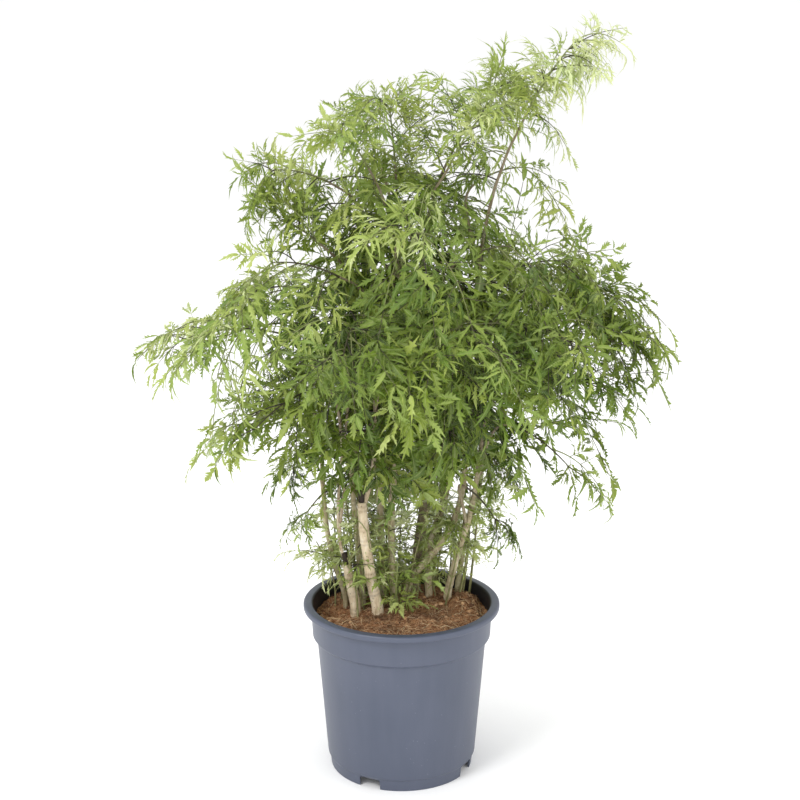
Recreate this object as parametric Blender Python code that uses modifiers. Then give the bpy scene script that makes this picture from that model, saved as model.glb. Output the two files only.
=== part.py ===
"""Potted ming aralia: a moulded grower's pot, its root ball, a clump of canes and their leafy sprays.

Metres, +Z up. The origin is on the ground at the pot's axis, and -Y is the plant's front.
"""

import math
from collections import namedtuple

import bmesh
import bpy
from mathutils import Matrix, Vector, noise

# Pot, turned about Z: radius and height of each edge, and the walls' thickness.
POT_HEIGHT = 0.1855
RIM_RADIUS = 0.1050
RIM_DEPTH = 0.0070
RIM_EDGE = 0.0014
COLLAR_RADIUS_TOP = 0.0968
COLLAR_RADIUS_FOOT = 0.0955
COLLAR_FOOT_HEIGHT = 0.1486
WALL_RADIUS_TOP = 0.0907
WALL_RADIUS_FOOT = 0.0800
SKIRT_HEIGHT = 0.0132
SKIRT_RADIUS_TOP = 0.0780
SKIRT_RADIUS_FOOT = 0.0767
WALL_THICKNESS = 0.0018
FLOOR_THICKNESS = 0.0020
FLOOR_FILLET = 0.0020
STEP_EDGE = 0.0010
COLLAR_CHAMFER = 0.0030
POT_STEPS = 48

# The skirt's four notches, and the ring of drain holes in the floor above it.
NOTCH_WIDTH = 0.0235
NOTCH_DEPTH = 0.0200
NOTCH_HEIGHT = 0.0118
NOTCH_TURN = math.radians(-116.0)
NOTCH_COUNT = 4
DRAIN_RADIUS = 0.0055
DRAIN_RING = 0.0560
DRAIN_COUNT = 8
DRAIN_SIDES = 12

# Root ball: it fills the pot to below the rim, with a small gap all round.
GAP = 0.0003
SOIL_HEIGHT = 0.1715
SOIL_EDGE_DROP = 0.0030
SOIL_EDGE_GAP = 0.0009
SOIL_ROUGHNESS = 0.0035
SOIL_MOUND_SCALE = 45.0
SOIL_CRUMB_SCALE = 110.0
SOIL_RINGS = 5
SOIL_STEPS = 32
PEG_DEPTH = 0.0250
SOCKET_CLEARANCE = 0.0006
SOCKET_SIDES = 16

# Canes: how far below a spray its twig forks off, and the twig's size.
FORK_DROP = 0.065
FORK_STAGGER = 0.014
FORK_OVERLAP = 0.004
PEG_RISE = 0.006
TWIG_RADIUS = 0.0013
TWIG_ROOT_RADIUS = 0.0019
LEADER_SHARE = 0.80
TWIG_END = 0.005
LEADER_POINTS = 7
TWIG_POINTS = 5

# Bevel resolution of a tube: eight sides on a thick trunk, six on the rest.
THICK_RADIUS = 0.005
THICK_TUBE = 2
THIN_TUBE = 1

# Sprays: a stalk with three pairs of side blades and an end blade. Starts and root are shares of the stalk's
# length, reach is a share of the spray's length, and the spread and middle shape each blade's widest part.
STALK_HALF_WIDTH = 0.0013
BLADE_THICKNESS = 0.0014
PAIR_STARTS = (0.30, 0.50, 0.70)
PAIR_SHARES = (0.92, 1.00, 0.72)
PAIR_ROOT = 0.12
BLADE_REACH = 0.50
BLADE_SPREAD = 0.85
BLADE_MIDDLE = 0.45
BLADE_SWEEP = math.radians(38.0)
BLADE_SAG = 0.40
END_BLADE_HALF_WIDTH = 0.012
ARCH = 0.24

# A cane has its foot on the soil and its radius there, the points that its trunk passes through, the radius
# at the trunk's cut top, and its sprays. The last spray ends the leader, and the others end side twigs.
Cane = namedtuple("Cane", "name foot radius trunk cut_radius sprays")

# A spray is the turn about Z in degrees, radius and height of its stalk's foot, and then of its tip.
CANES = (
    Cane("front_trunk", (-0.0255, 0.0000), 0.0064,
         ((-0.0320, -0.0010, 0.2050), (-0.0395, -0.0030, 0.2620), (-0.0420, -0.0040, 0.3000)), 0.0050,
         ((-117, 0.070, 0.395, -117, 0.150, 0.372), (-95, 0.092, 0.470, -95, 0.215, 0.432),
          (-113, 0.109, 0.505, -113, 0.254, 0.478))),
    Cane("left_trunk", (-0.0495, 0.0060), 0.0060,
         ((-0.0540, 0.0055, 0.2000), (-0.0590, 0.0040, 0.2260)), 0.0050,
         ((-165, 0.070, 0.320, -168, 0.122, 0.272), (-150, 0.098, 0.430, -156, 0.215, 0.368),
          (-150, 0.113, 0.498, -150, 0.258, 0.460))),
    Cane("left_cane", (-0.0610, 0.0330), 0.0032,
         ((-0.0740, 0.0310, 0.2180), (-0.0815, 0.0300, 0.2600), (-0.0850, 0.0300, 0.3150)), 0.0026,
         ((178, 0.105, 0.400, 176, 0.222, 0.338), (168, 0.129, 0.470, 164, 0.293, 0.445))),
    Cane("left_inner_cane", (-0.0420, 0.0240), 0.0034,
         ((-0.0450, 0.0230, 0.2180), (-0.0500, 0.0210, 0.2750), (-0.0540, 0.0200, 0.3300)), 0.0028,
         ((-137, 0.085, 0.545, -137, 0.195, 0.568), (178, 0.085, 0.570, 178, 0.150, 0.598),
          (172, 0.075, 0.630, 176, 0.168, 0.645))),
    Cane("back_left_cane", (-0.0340, 0.0620), 0.0040,
         ((-0.0380, 0.0650, 0.2200), (-0.0500, 0.0750, 0.3000)), 0.0032,
         ((148, 0.105, 0.345, 148, 0.150, 0.290), (150, 0.128, 0.415, 150, 0.235, 0.360),
          (132, 0.135, 0.500, 132, 0.262, 0.480))),
    Cane("centre_cane", (-0.0200, 0.0450), 0.0044,
         ((-0.0215, 0.0450, 0.2200), (-0.0240, 0.0450, 0.3000)), 0.0034,
         ((134, 0.100, 0.590, 134, 0.200, 0.622), (118, 0.060, 0.655, 118, 0.131, 0.700),
          (-140, 0.010, 0.650, -100, 0.028, 0.724))),
    Cane("front_cane", (-0.0080, 0.0280), 0.0042,
         ((-0.0110, 0.0270, 0.2200), (-0.0105, 0.0220, 0.2900), (-0.0040, 0.0150, 0.3500)), 0.0034,
         ((-72, 0.109, 0.500, -72, 0.252, 0.482), (-90, 0.086, 0.585, -90, 0.206, 0.598),
          (-40, 0.060, 0.650, -35, 0.112, 0.712), (-125, 0.055, 0.650, -125, 0.125, 0.692))),
    Cane("leaning_cane", (0.0040, 0.0360), 0.0044,
         ((0.0100, 0.0360, 0.1960), (0.0320, 0.0360, 0.2220), (0.0460, 0.0370, 0.2400),
          (0.0590, 0.0380, 0.2660)), 0.0036,
         ((-66, 0.070, 0.395, -64, 0.150, 0.375), (-54, 0.095, 0.465, -50, 0.221, 0.431),
          (-32, 0.113, 0.500, -31, 0.262, 0.478))),
    Cane("old_trunk", (0.0140, 0.0630), 0.0068,
         ((0.0200, 0.0640, 0.2300), (0.0300, 0.0660, 0.3050)), 0.0052,
         ((47, 0.085, 0.570, 50, 0.150, 0.600), (90, 0.105, 0.585, 90, 0.201, 0.615),
          (25, 0.060, 0.665, 20, 0.125, 0.738))),
    Cane("right_inner_cane", (0.0300, 0.0480), 0.0042,
         ((0.0290, 0.0490, 0.2250), (0.0400, 0.0500, 0.2620), (0.0500, 0.0500, 0.2920)), 0.0034,
         ((-44, 0.080, 0.560, -46, 0.165, 0.585), (2, 0.098, 0.535, 1, 0.210, 0.558),
          (4, 0.075, 0.630, 6, 0.160, 0.645), (-12, 0.125, 0.700, -12, 0.200, 0.792))),
    Cane("right_cane", (0.0500, 0.0360), 0.0042,
         ((0.0600, 0.0300, 0.2250), (0.0740, 0.0220, 0.2750)), 0.0034,
         ((-24, 0.074, 0.320, -24, 0.118, 0.252), (-14, 0.117, 0.385, -14, 0.222, 0.318),
          (-8, 0.133, 0.435, -8, 0.252, 0.398))),
    Cane("right_back_cane", (0.0620, 0.0580), 0.0032,
         ((0.0700, 0.0620, 0.2350), (0.0850, 0.0640, 0.2850)), 0.0026,
         ((30, 0.122, 0.478, 22, 0.262, 0.508), (10, 0.136, 0.470, 8, 0.300, 0.440))),
    Cane("back_right_cane", (0.0340, 0.0760), 0.0036,
         ((0.0390, 0.0800, 0.2300), (0.0500, 0.0860, 0.2950)), 0.0030,
         ((42, 0.108, 0.340, 41, 0.150, 0.282), (73, 0.134, 0.420, 73, 0.234, 0.365),
          (52, 0.136, 0.500, 52, 0.258, 0.480))),
    Cane("back_cane", (-0.0100, 0.0800), 0.0040,
         ((-0.0110, 0.0830, 0.2300), (-0.0120, 0.0880, 0.3000)), 0.0032,
         ((96, 0.118, 0.340, 96, 0.160, 0.285), (112, 0.134, 0.420, 112, 0.234, 0.365),
          (92, 0.142, 0.500, 92, 0.252, 0.480))),
)

# A young shoot straight out of the soil in front of the clump: foot, a point above it, and tip.
YOUNG_SHOOT = ((-0.0060, 0.0000, 0.1600), (-0.0060, 0.0000, 0.2350), (0.0060, -0.0420, 0.2120))
YOUNG_SHOOT_SOCKET = 0.0034

# Colour (linear red, green, blue) and roughness of each material.
POT_COLOUR = (0.150, 0.166, 0.214)
SOIL_COLOUR = (0.145, 0.080, 0.042)
BARK_COLOUR = (0.420, 0.345, 0.230)
LEAF_COLOUR = (0.150, 0.230, 0.058)


def clear_scene():
    """Removes every object, so that the file can be run again."""
    for item in list(bpy.data.objects):
        bpy.data.objects.remove(item, do_unlink=True)


def new_collection(name):
    collection = bpy.data.collections.new(name)
    bpy.context.scene.collection.children.link(collection)
    return collection


def new_material(name, colour, roughness):
    material = bpy.data.materials.new(name)
    material.use_nodes = True
    shader = material.node_tree.nodes["Principled BSDF"]
    shader.inputs["Base Color"].default_value = (*colour, 1.0)
    shader.inputs["Roughness"].default_value = roughness
    shader.inputs["Metallic"].default_value = 0.0
    return material


def add_object(name, data, collection, material=None):
    item = bpy.data.objects.new(name, data)
    collection.objects.link(item)
    if material:
        data.materials.append(material)
    return item


def as_mesh(item, name=None):
    """Turns an object into a plain mesh object in the same place, modifiers applied and its seams welded."""
    bpy.context.view_layer.update()
    evaluated = item.evaluated_get(bpy.context.evaluated_depsgraph_get())
    mesh = bpy.data.meshes.new_from_object(evaluated)
    cage = bmesh.new()
    cage.from_mesh(mesh)
    bmesh.ops.remove_doubles(cage, verts=cage.verts, dist=0.00001)
    cage.to_mesh(mesh)
    cage.free()
    name = name or item.name
    made = bpy.data.objects.new(name, mesh)
    made.matrix_world = item.matrix_world.copy()
    item.users_collection[0].objects.link(made)
    bpy.data.objects.remove(item, do_unlink=True)
    made.name = name
    return made


def shade(item, angle=40.0):
    item.data.shade_smooth()
    item.data.set_sharp_from_angle(angle=math.radians(angle))


def turned(name, profile, collection, material, steps):
    """A profile of (radius, height) points, turned about Z."""
    mesh = bpy.data.meshes.new(name)
    mesh.from_pydata([(r, 0.0, z) for r, z in profile], [(i, i + 1) for i in range(len(profile) - 1)], [])
    item = add_object(name, mesh, collection, material)
    screw = item.modifiers.new("Turn", "SCREW")
    screw.steps = steps
    screw.render_steps = steps
    screw.use_merge_vertices = True
    screw.merge_threshold = 0.00001
    return item


def cut(item, cutter, operation="DIFFERENCE"):
    """Adds a Boolean modifier to item and keeps the cutter as a guide."""
    boolean = item.modifiers.new(operation.title(), "BOOLEAN")
    boolean.operation = operation
    boolean.solver = "EXACT"
    boolean.object = cutter
    cutter.hide_render = True
    cutter.display_type = "WIRE"


def cutter_from(cage, name, collection):
    mesh = bpy.data.meshes.new(name)
    cage.to_mesh(mesh)
    cage.free()
    return add_object(name, mesh, collection)


def wall_radius(height):
    """Outer radius of the tapered wall at a height."""
    share = (height - SKIRT_HEIGHT) / (COLLAR_FOOT_HEIGHT - SKIRT_HEIGHT)
    return WALL_RADIUS_FOOT + (WALL_RADIUS_TOP - WALL_RADIUS_FOOT) * share


def inner_profile():
    """Inside of the pot from the rim down to the floor's edge, as (radius, height)."""
    step = COLLAR_FOOT_HEIGHT - WALL_THICKNESS
    floor = SKIRT_HEIGHT + FLOOR_THICKNESS
    return (
        (COLLAR_RADIUS_TOP - WALL_THICKNESS, POT_HEIGHT - RIM_EDGE),
        (COLLAR_RADIUS_FOOT - WALL_THICKNESS, COLLAR_FOOT_HEIGHT + WALL_THICKNESS),
        (wall_radius(step) - WALL_THICKNESS, step - WALL_THICKNESS),
        (wall_radius(floor) - WALL_THICKNESS - FLOOR_FILLET, floor + FLOOR_FILLET),
        (wall_radius(floor) - WALL_THICKNESS - 2 * FLOOR_FILLET, floor),
    )


def build_pot(parts, guides, material):
    inside = inner_profile()
    rim_base = POT_HEIGHT - RIM_DEPTH
    outside = (
        (COLLAR_RADIUS_TOP - WALL_THICKNESS + RIM_EDGE, POT_HEIGHT),
        (RIM_RADIUS - RIM_EDGE, POT_HEIGHT),
        (RIM_RADIUS, POT_HEIGHT - RIM_EDGE),
        (RIM_RADIUS, rim_base + RIM_EDGE),
        (RIM_RADIUS - RIM_EDGE, rim_base),
        (COLLAR_RADIUS_TOP, rim_base),
        (COLLAR_RADIUS_FOOT, COLLAR_FOOT_HEIGHT + STEP_EDGE),
        (COLLAR_RADIUS_FOOT - STEP_EDGE, COLLAR_FOOT_HEIGHT),
        (WALL_RADIUS_TOP, COLLAR_FOOT_HEIGHT - COLLAR_CHAMFER),
        (WALL_RADIUS_FOOT, SKIRT_HEIGHT + STEP_EDGE),
        (SKIRT_RADIUS_TOP, SKIRT_HEIGHT - STEP_EDGE),
        (SKIRT_RADIUS_FOOT, 0.0),
        (SKIRT_RADIUS_FOOT - WALL_THICKNESS, 0.0),
        (SKIRT_RADIUS_TOP - WALL_THICKNESS, SKIRT_HEIGHT),
    )
    floor = SKIRT_HEIGHT + FLOOR_THICKNESS
    profile = [(0.0, floor)] + list(reversed(inside)) + list(outside) + [(0.0, SKIRT_HEIGHT)]
    pot = turned("pot", profile, parts, material, POT_STEPS)

    notches = bmesh.new()
    for i in range(NOTCH_COUNT):
        turn = NOTCH_TURN + i * math.tau / NOTCH_COUNT
        block = bmesh.ops.create_cube(notches, size=1.0)["verts"]
        bmesh.ops.scale(notches, vec=(NOTCH_DEPTH, NOTCH_WIDTH, 2 * NOTCH_HEIGHT), verts=block)
        bmesh.ops.translate(notches, vec=(SKIRT_RADIUS_FOOT, 0.0, 0.0), verts=block)
        bmesh.ops.rotate(notches, matrix=Matrix.Rotation(turn, 3, "Z"), verts=block)
    cut(pot, cutter_from(notches, "notch_cutter", guides))

    drains = bmesh.new()
    for i in range(DRAIN_COUNT):
        turn = NOTCH_TURN + (i + 0.5) * math.tau / DRAIN_COUNT
        hole = bmesh.ops.create_cone(drains, cap_ends=True, segments=DRAIN_SIDES, radius1=DRAIN_RADIUS,
                                     radius2=DRAIN_RADIUS, depth=4 * FLOOR_THICKNESS)["verts"]
        spot = (DRAIN_RING * math.cos(turn), DRAIN_RING * math.sin(turn), SKIRT_HEIGHT + FLOOR_THICKNESS / 2)
        bmesh.ops.translate(drains, vec=spot, verts=hole)
    cut(pot, cutter_from(drains, "drain_cutter", guides))
    shade(as_mesh(pot))


def soil_height(x, y):
    """Height of the uneven soil at a place."""
    edge = (math.hypot(x, y) / COLLAR_RADIUS_FOOT) ** 4
    mounds = noise.noise(Vector((x, y, 0.0)) * SOIL_MOUND_SCALE)
    crumbs = noise.noise(Vector((x, y, 0.3)) * SOIL_CRUMB_SCALE)
    return SOIL_HEIGHT - SOIL_EDGE_DROP * edge + SOIL_ROUGHNESS * (mounds + crumbs / 2)


def build_soil(parts, guides, material):
    inside = [(radius - GAP, height) for radius, height in inner_profile()]
    inside[-1] = (inside[-1][0], inside[-1][1] + GAP)
    inside[-2] = (inside[-2][0], inside[-2][1] + GAP)
    edge = inside[0][0] + GAP - SOIL_EDGE_GAP
    rings = [(edge * (i / SOIL_RINGS), SOIL_HEIGHT) for i in range(SOIL_RINGS + 1)]
    profile = rings + inside[1:] + [(0.0, inside[-1][1])]
    soil = as_mesh(turned("soil", profile, parts, material, SOIL_STEPS))
    for vertex in soil.data.vertices:
        if vertex.co.z > SOIL_HEIGHT - 0.001:
            vertex.co.z = soil_height(vertex.co.x, vertex.co.y)

    sockets = bmesh.new()
    feet = [(cane.foot, cane.radius + SOCKET_CLEARANCE) for cane in CANES]
    feet.append((YOUNG_SHOOT[0][:2], YOUNG_SHOOT_SOCKET))
    bottom = SOIL_HEIGHT - PEG_DEPTH - SOCKET_CLEARANCE
    height = 3.0 * PEG_DEPTH
    for (x, y), radius in feet:
        hole = bmesh.ops.create_cone(sockets, cap_ends=True, segments=SOCKET_SIDES, radius1=radius,
                                     radius2=radius, depth=height)["verts"]
        bmesh.ops.translate(sockets, vec=(x, y, bottom + height / 2), verts=hole)
    cut(soil, cutter_from(sockets, "socket_cutter", guides))
    shade(as_mesh(soil))


def polar(turn, radius, height):
    angle = math.radians(turn)
    return Vector((radius * math.cos(angle), radius * math.sin(angle), height))


def spray_curve(spray):
    """A spray's foot, the point that its arch bends towards, and its tip."""
    foot = polar(*spray[:3])
    tip = polar(*spray[3:])
    arch = (foot + tip) / 2 + Vector((0.0, 0.0, ARCH * (tip - foot).length))
    return foot, arch, tip


def bend(foot, arch, tip, share):
    """Point at a share of the way along a curve that leaves foot towards arch and ends at tip."""
    return foot * (1 - share) ** 2 + arch * (2 * share * (1 - share)) + tip * share ** 2


def hermite(start, start_pull, end, end_pull, count):
    """Evenly spaced points on a smooth curve between two points, with the pulls as its end directions."""
    points = []
    for i in range(count):
        t = i / (count - 1)
        points.append(start * (2 * t ** 3 - 3 * t ** 2 + 1) + start_pull * (t ** 3 - 2 * t ** 2 + t)
                      + end * (3 * t ** 2 - 2 * t ** 3) + end_pull * (t ** 3 - t ** 2))
    return points


def tube(name, points, radii, collection, material, resolution):
    """A round rod along points, as a welded mesh."""
    curve = bpy.data.curves.new(name, "CURVE")
    curve.dimensions = "3D"
    curve.bevel_depth = 1.0
    curve.bevel_resolution = resolution
    curve.use_fill_caps = True
    spline = curve.splines.new("POLY")
    spline.points.add(len(points) - 1)
    for point, place, radius in zip(spline.points, points, radii):
        point.co = (*place, 1.0)
        point.radius = radius
    return as_mesh(add_object(name, curve, collection, material))


def tapered(start, end, count):
    return [start + (end - start) * i / (count - 1) for i in range(count)]


def point_at_height(points, height):
    """Where a rising line of points first reaches a height, and its direction there."""
    for low, high in zip(points, points[1:]):
        if high.z >= height:
            share = max(0.0, (height - low.z) / (high.z - low.z))
            return low.lerp(high, share), (high - low).normalized()
    return points[-1], (points[-1] - points[-2]).normalized()


def twig_to(start, start_way, spray, count):
    """Points of a twig from start to just short of a spray's foot, its end square to the spray's stalk."""
    foot, arch, tip = spray_curve(spray)
    way = (bend(foot, arch, tip, PAIR_STARTS[0]) - foot).normalized()
    end = foot - way * GAP
    last_bend = end - way * TWIG_END
    reach = (last_bend - start).length
    return hermite(start, start_way * reach, last_bend, way * reach, count - 1) + [end]


def build_cane(cane, parts, material):
    """A trunk that stands upright in its socket, with its leader and side twigs joined to it."""
    foot = Vector((*cane.foot, SOIL_HEIGHT - PEG_DEPTH))
    upright = Vector((0.0, 0.0, PEG_DEPTH + PEG_RISE))
    trunk = [foot, foot + upright] + [Vector(point) for point in cane.trunk]
    sides = THICK_TUBE if cane.radius > THICK_RADIUS else THIN_TUBE
    radii = [cane.radius] + tapered(cane.radius, cane.cut_radius, len(trunk) - 1)
    made = tube(cane.name, trunk, radii, parts, material, sides)

    trunk_way = (trunk[-1] - trunk[-2]).normalized()
    leader = twig_to(trunk[-1] - trunk_way * FORK_OVERLAP, trunk_way, cane.sprays[-1], LEADER_POINTS)
    rods = [(leader, tapered(cane.cut_radius * LEADER_SHARE, TWIG_RADIUS, LEADER_POINTS))]
    stem = trunk + leader[1:]
    for i, spray in enumerate(cane.sprays[:-1]):
        fork, way = point_at_height(stem, spray[2] - FORK_DROP - FORK_STAGGER * i)
        outward = (polar(*spray[:3]) - fork).normalized()
        twig = twig_to(fork, (way + outward).normalized(), spray, TWIG_POINTS)
        rods.append((twig, tapered(TWIG_ROOT_RADIUS, TWIG_RADIUS, TWIG_POINTS)))
    for points, radii in rods:
        rod = tube(cane.name + "_rod", points, radii, parts, None, THIN_TUBE)
        cut(made, rod, "UNION")
        made = as_mesh(made)
        bpy.data.objects.remove(rod, do_unlink=True)
    shade(made)


def add_blade(cage, root, middle, direction, reach):
    """A pointed blade on the edge root of a stalk, with its tip sagging."""
    spread = (root[1].co - root[0].co) * BLADE_SPREAD
    sag = Vector((0.0, 0.0, BLADE_SAG * reach))
    widest = middle + direction * reach * BLADE_MIDDLE - sag * BLADE_MIDDLE ** 2
    low = cage.verts.new(widest - spread)
    high = cage.verts.new(widest + spread)
    point = cage.verts.new(middle + direction * reach - sag)
    cage.faces.new((root[0], root[1], high, low))
    cage.faces.new((low, high, point))


def build_spray(name, curve, parts, material):
    """A stalk with pointed side blades along a foot, arch and tip curve, as an open surface with Solidify."""
    foot, arch, tip = curve
    flat = Vector((tip.x - foot.x, tip.y - foot.y, 0.0)).normalized()
    side = Vector((-flat.y, flat.x, 0.0))
    reach = BLADE_REACH * (tip - foot).length
    stations = [0.0]
    for start in PAIR_STARTS:
        stations += [start, start + PAIR_ROOT]

    cage = bmesh.new()
    rows = []
    for share in stations:
        centre = bend(*curve, share)
        rows.append([cage.verts.new(centre + side * STALK_HALF_WIDTH * hand) for hand in (-1, 1)])
    for low, high in zip(rows, rows[1:]):
        cage.faces.new((low[0], low[1], high[1], high[0]))
    for i, start in enumerate(PAIR_STARTS):
        low, high = rows[2 * i + 1], rows[2 * i + 2]
        along = (bend(*curve, start + PAIR_ROOT) - bend(*curve, start)).normalized()
        middle = bend(*curve, start + PAIR_ROOT / 2)
        for hand, column in ((-1, 0), (1, 1)):
            direction = side * hand * math.cos(BLADE_SWEEP) + along * math.sin(BLADE_SWEEP)
            root = (low[column], high[column]) if hand > 0 else (high[column], low[column])
            add_blade(cage, root, middle, direction, reach * PAIR_SHARES[i])
    widest = bend(*curve, (stations[-1] + 1) / 2)
    left, right = (cage.verts.new(widest + side * END_BLADE_HALF_WIDTH * hand) for hand in (-1, 1))
    point = cage.verts.new(tip)
    cage.faces.new((rows[-1][0], rows[-1][1], right, left))
    cage.faces.new((left, right, point))
    bmesh.ops.recalc_face_normals(cage, faces=cage.faces)

    mesh = bpy.data.meshes.new(name)
    cage.to_mesh(mesh)
    cage.free()
    shell = add_object(name, mesh, parts, material).modifiers.new("Thickness", "SOLIDIFY")
    shell.thickness = BLADE_THICKNESS
    shell.offset = 0.0


def build_all():
    clear_scene()
    parts = new_collection("potted_ming_aralia")
    guides = new_collection("guides")
    build_pot(parts, guides, new_material("pot_plastic", POT_COLOUR, 0.45))
    build_soil(parts, guides, new_material("potting_soil", SOIL_COLOUR, 0.95))
    bark = new_material("bark", BARK_COLOUR, 0.80)
    leaf = new_material("leaf", LEAF_COLOUR, 0.50)
    count = 0
    for cane in CANES:
        build_cane(cane, parts, bark)
        for spray in cane.sprays:
            count += 1
            build_spray(f"leaf_spray_{count:02d}", spray_curve(spray), parts, leaf)
    build_spray("young_shoot", [Vector(point) for point in YOUNG_SHOOT], parts, leaf)


build_all()
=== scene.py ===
import math
import random
from collections import namedtuple

import bmesh
import bpy
import numpy as np
from mathutils import Matrix, Vector, kdtree, noise


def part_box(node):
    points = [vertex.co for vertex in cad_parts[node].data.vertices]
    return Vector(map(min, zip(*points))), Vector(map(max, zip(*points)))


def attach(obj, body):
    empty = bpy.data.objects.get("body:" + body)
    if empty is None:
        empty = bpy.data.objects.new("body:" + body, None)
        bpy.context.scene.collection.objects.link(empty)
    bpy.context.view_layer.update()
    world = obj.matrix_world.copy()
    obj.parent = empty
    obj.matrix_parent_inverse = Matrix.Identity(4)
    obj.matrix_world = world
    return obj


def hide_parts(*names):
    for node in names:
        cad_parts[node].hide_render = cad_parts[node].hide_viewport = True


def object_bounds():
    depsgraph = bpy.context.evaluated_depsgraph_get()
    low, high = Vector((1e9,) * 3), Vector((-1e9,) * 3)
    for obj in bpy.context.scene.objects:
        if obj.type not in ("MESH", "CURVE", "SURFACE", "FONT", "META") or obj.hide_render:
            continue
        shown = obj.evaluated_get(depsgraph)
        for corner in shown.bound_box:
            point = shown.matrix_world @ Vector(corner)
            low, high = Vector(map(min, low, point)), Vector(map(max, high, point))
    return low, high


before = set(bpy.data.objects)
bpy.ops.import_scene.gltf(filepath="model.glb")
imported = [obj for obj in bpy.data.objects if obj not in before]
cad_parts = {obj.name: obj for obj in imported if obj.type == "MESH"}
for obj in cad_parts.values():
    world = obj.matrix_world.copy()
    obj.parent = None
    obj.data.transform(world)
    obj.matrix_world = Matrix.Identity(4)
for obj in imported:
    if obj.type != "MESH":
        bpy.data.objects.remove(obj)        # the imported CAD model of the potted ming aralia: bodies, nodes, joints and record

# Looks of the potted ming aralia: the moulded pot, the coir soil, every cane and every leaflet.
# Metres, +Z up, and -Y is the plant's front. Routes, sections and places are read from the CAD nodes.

CAD_LOW, CAD_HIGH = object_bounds()
RIM_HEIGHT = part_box("pot")[1].z
UP = Vector((0.0, 0.0, 1.0))
GOLDEN_ANGLE = math.pi * (3.0 - math.sqrt(5.0))

# Stage: the camera in front of the plant and above it, the floor, the sky, and lights (place, size, power).
CAMERA_PLACE = (-0.0016, -1.598, 0.8124)
CAMERA_PITCH = math.radians(14.26)
CAMERA_LENS = 71.48
CAMERA_SENSOR = 36.0
FLOOR_REACH = 400.0
SKY_STRENGTH = 1.05
LIGHTS = {
    "key_light": ((-1.5, -1.7, 2.3), 1.1, 42.0),
    "fill_light": ((2.2, -1.2, 1.3), 1.6, 9.0),
    "top_light": ((0.1, 0.2, 2.6), 1.8, 18.0),
    "low_light": ((0.2, -2.6, 0.55), 1.4, 12.0),
}

# Pot: how finely it is turned, how round its edges are, the notches in its skirt and its drain holes.
POT_STEPS = 192
POT_EDGE = 0.0016
POT_SECTION_TURN = math.radians(15.0)
POT_SHARP_ANGLE = math.radians(38.0)
NOTCH_FILLET = 0.0035
NOTCH_REACH = 0.0200
NOTCH_RING_SHARE = 0.73
DRAIN_COUNT = 8
DRAIN_RADIUS = 0.0055
DRAIN_RING = 0.0560
DRAIN_SIDES = 32
DRAIN_HEIGHT = 0.0142
DRAIN_DEPTH = 0.0200

# Soil: how fine its surface is, how deep the bed goes, how much it sinks towards the edge, its lumps of
# (fineness, height), its mounds and hollows of (x, y, radius, height), and what lies on it.
SOIL_RINGS = 90
SOIL_STEPS = 240
SOIL_DEPTH = 0.0160
SOIL_EDGE_DROP = 0.0030
SOIL_LUMPS = ((42.0, 0.0030), (120.0, 0.0026), (300.0, 0.0016))
SOIL_MOUNDS = ((-0.070, 0.014, 0.019, -0.014), (-0.052, -0.012, 0.012, -0.006), (0.066, 0.036, 0.017, 0.009),
               (0.046, 0.020, 0.010, -0.005), (0.034, -0.050, 0.022, 0.003), (-0.028, -0.062, 0.020, 0.004))
FIBRE_COUNT = 5200
FIBRE_POINTS = 6
CRUMB_COUNT = 700

# Canes: the steps that follow a trunk up to its cut top, where twigs fork off, how thick and fine they are,
# the gaps between leaf scars, and how dark a twig is at its end.
TRACE_STEP = 0.004
TRACE_TOP = 0.400
TRACE_RADIUS = 0.009
TRACE_REACH = 1.35
CUT_DROP = 0.90
FORK_DROP = 0.065
FORK_STAGGER = 0.014
TWIG_ROOT_RADIUS = 0.0019
TWIG_RADIUS = 0.0011
STATION_STEP = 0.0022
CANE_SIDES = 18
TWIG_SIDES = 10
LEADER_POINTS = 12
TWIG_POINTS = 9
TRUNK_SCAR_GAP = 0.016
LEADER_SCAR_GAP = 0.012
TWIG_SCAR_GAP = 0.010
SHOOT_SCAR_GAP = 0.014
TWIG_END_DUSK = 0.75
# Trunks with a dark cut stub: which way the leader leaves beside it, and its share of the trunk's width.
STUB_TRUNKS = {
    "front_trunk": (Vector((0.9, 0.5, 1.0)), 0.56),
    "left_trunk": (Vector((-0.7, 0.2, 1.0)), 0.34),
}
STUB_LENGTH = 0.017

# Leaves: the steps along a leaflet's rib, its least half width at a notch, a compound leaf's side branches and
# stalk, and how far from the axis a leaf below the rim may reach.
LEAFLET_STEPS = 4
LEAST_SINUS = 0.030
PINNA_COUNT = 20
PINNA_STALK = 0.54
LEAF_STALK_RADIUS = 0.0008
LEAF_STALK_BARE = 0.34
RIM_INSIDE = 0.094

# Sprays: the share of the CAD spray that the woody stalk fills, how it arches, the leaves' size and length,
# how far they may stand out from the CAD, how many are left out far from the middle, which twigs stay bare
# along most of their length, and which way the topmost fan sweeps.
STALK_SHARE = 0.62
STALK_POINTS = 12
ARCH = 0.24
LEAF_SIZE = 0.051
LEAF_LENGTH = 0.085
LEAF_CLEARANCE = 0.023
TOP_CLEARANCE = 0.028
OUTER_THINNING = 0.42
LONG_TWIG = 0.21
FAN_SWEEP = Vector((0.70, 0.0, -0.40))
# How leafy a spray is beside the others, where it isn't one.
LEAFINESS = {1: 0.75, 3: 0.85, 4: 0.4, 5: 0.3, 6: 1.2, 7: 0.08, 8: 1.8, 9: 1.2, 11: 0.45, 12: 0.5, 13: 0.2,
             14: 1.2, 15: 0.6, 16: 0.5, 17: 1.1, 20: 0.55, 21: 0.35, 25: 0.5, 27: 0.7, 28: 0.6, 29: 1.2,
             30: 0.02, 31: 0.9, 32: 0.12, 33: 0.2, 35: 1.4, 36: 1.3}
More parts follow.
